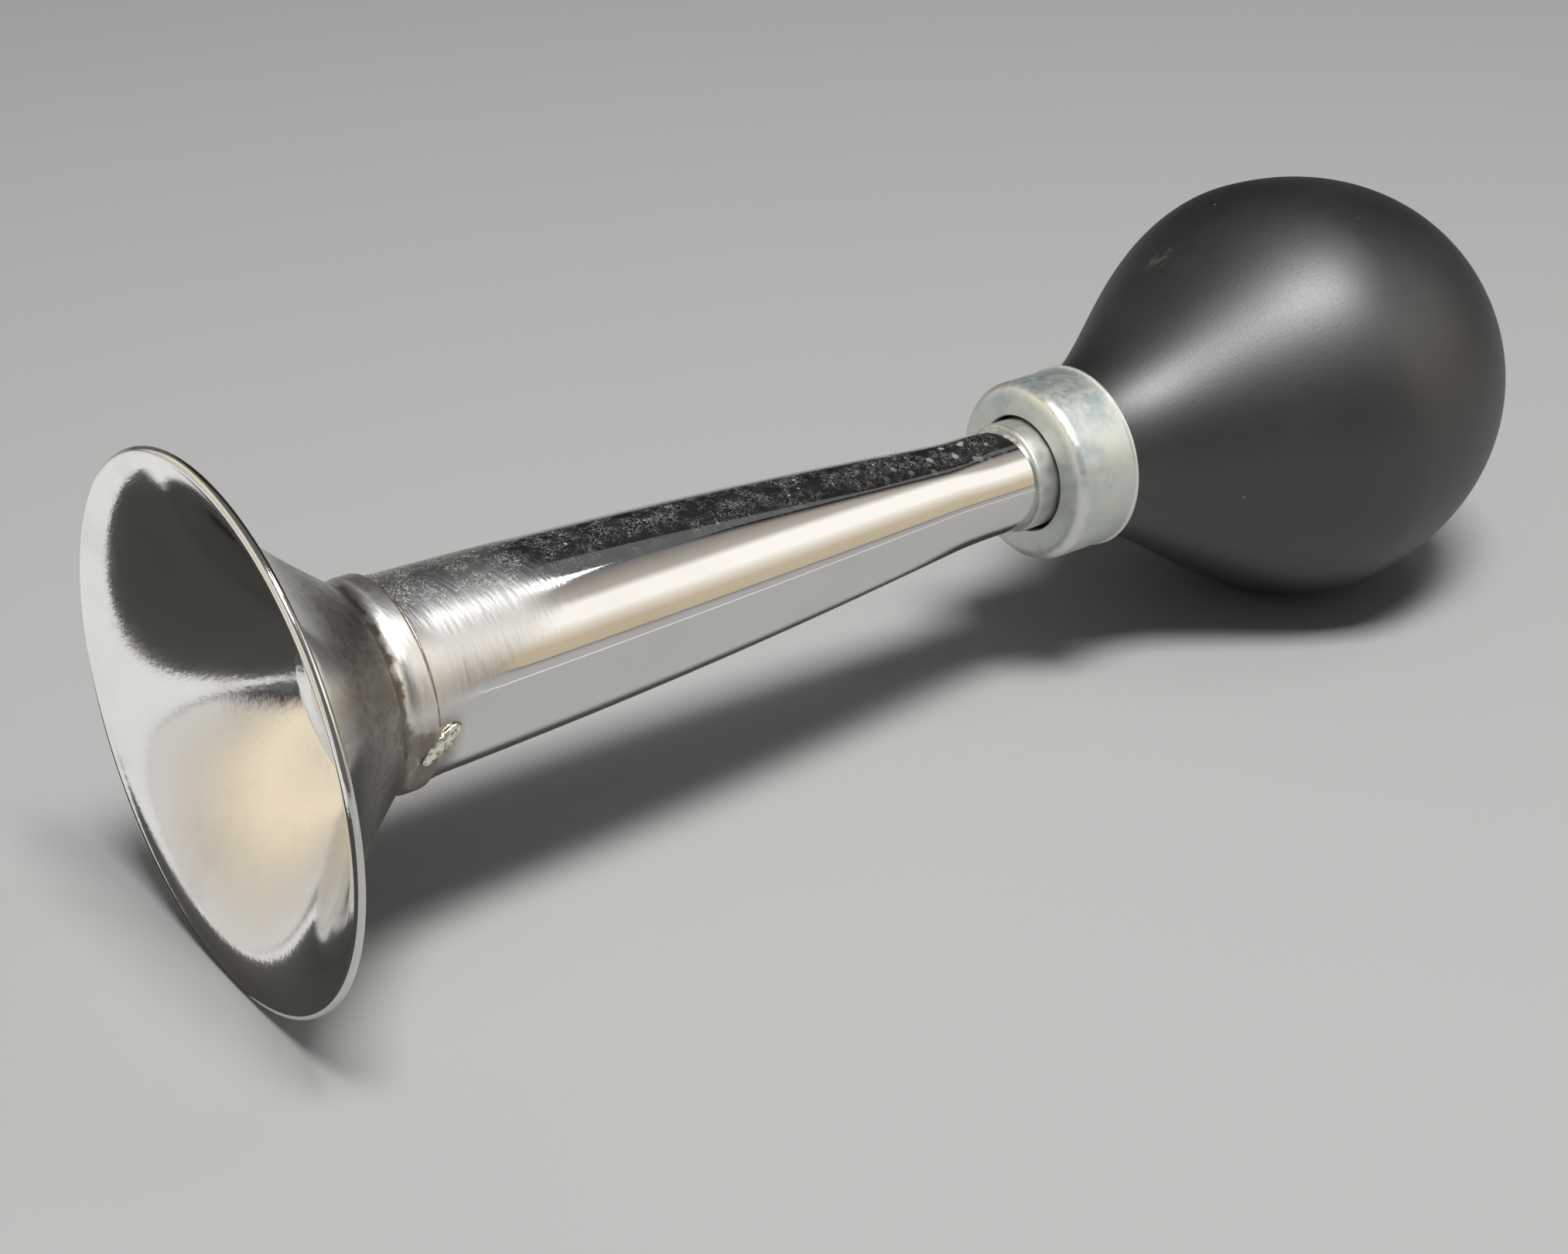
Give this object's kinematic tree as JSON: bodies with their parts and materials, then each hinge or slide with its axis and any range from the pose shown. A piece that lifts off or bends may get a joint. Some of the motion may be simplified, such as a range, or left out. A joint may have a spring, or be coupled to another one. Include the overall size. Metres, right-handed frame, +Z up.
{
  "type": "bulb horn",
  "caption": "Hand-squeezed bulb horn: flared chrome bell on a tapering tube, reed in the neck, black rubber bulb screwed on with a zinc-plated collar.",
  "frame": {"origin": "middle of the box at the bottom, on the surface that the rim and the bulb rest on", "axes": "+X along the horn from the mouth to the bulb, +Z up, +Y to the right as the horn points"},
  "size_m": [0.2438, 0.08, 0.08],
  "materials": {
    "bell_chrome": "polished, dull at the throat",
    "band_chrome": "polished by hand",
    "tube_chrome": "polished with fine specks",
    "solder": "rough solder",
    "neck_steel": "satin",
    "collar_zinc": "zinc plated, satin",
    "reed_brass": "turned",
    "tongue_brass": "rolled strip",
    "bush_brass": "turned",
    "screw_steel": "bright",
    "washer_leather": "matte",
    "bulb_rubber": "satin"
  },
  "bodies": {
    "horn": {"bell": "bell_chrome", "joint_band": "band_chrome", "solder_ring": "solder", "cone_tube": "tube_chrome", "neck_socket": "neck_steel", "reed_block": "reed_brass", "reed_shallot": "reed_brass", "reed_clamp": "reed_brass", "reed_screws": "screw_steel"},
    "reed": {"reed_tongue": "tongue_brass"},
    "washer": {"neck_washer": "washer_leather"},
    "bulb": {"collar": "collar_zinc", "bulb_bush": "bush_brass", "bulb": "bulb_rubber"},
    "left_side": {"bulb_left_side": "bulb_rubber"},
    "right_side": {"bulb_right_side": "bulb_rubber"}
  },
  "joints": [
    {"name": "reed_beat", "type": "hinge", "parent": "horn", "child": "reed", "pos_m": [0.04396, 0, 0.03952], "axis": [0, -1, 0], "range_deg": [-3.5, 1.5], "stiffness_Nm_per_rad": 0.02},
    {"name": "bulb_advance", "type": "slide", "parent": "horn", "child": "washer", "axis": [0.9998, 0, -0.0203], "range_m": [0, 0.0121]},
    {"name": "bulb_turn", "type": "hinge", "parent": "washer", "child": "bulb", "pos_m": [0.02888, 0, 0.03697], "axis": [0.9998, 0, -0.0203], "range_deg": [0, 2880]},
    {"name": "squeeze_left", "type": "slide", "parent": "bulb", "child": "left_side", "axis": [0, 1, 0], "range_m": [0, 0.012], "stiffness_N_per_m": 1200},
    {"name": "squeeze_right", "type": "slide", "parent": "bulb", "child": "right_side", "axis": [0, -1, 0], "range_m": [0, 0.012], "stiffness_N_per_m": 1200}
  ],
  "couplings": [
    {"joint": "bulb_advance", "follows": "bulb_turn", "m_per_rad": 0.00023873},
    {"joint": "squeeze_right", "follows": "squeeze_left", "ratio": 1}
  ]
}
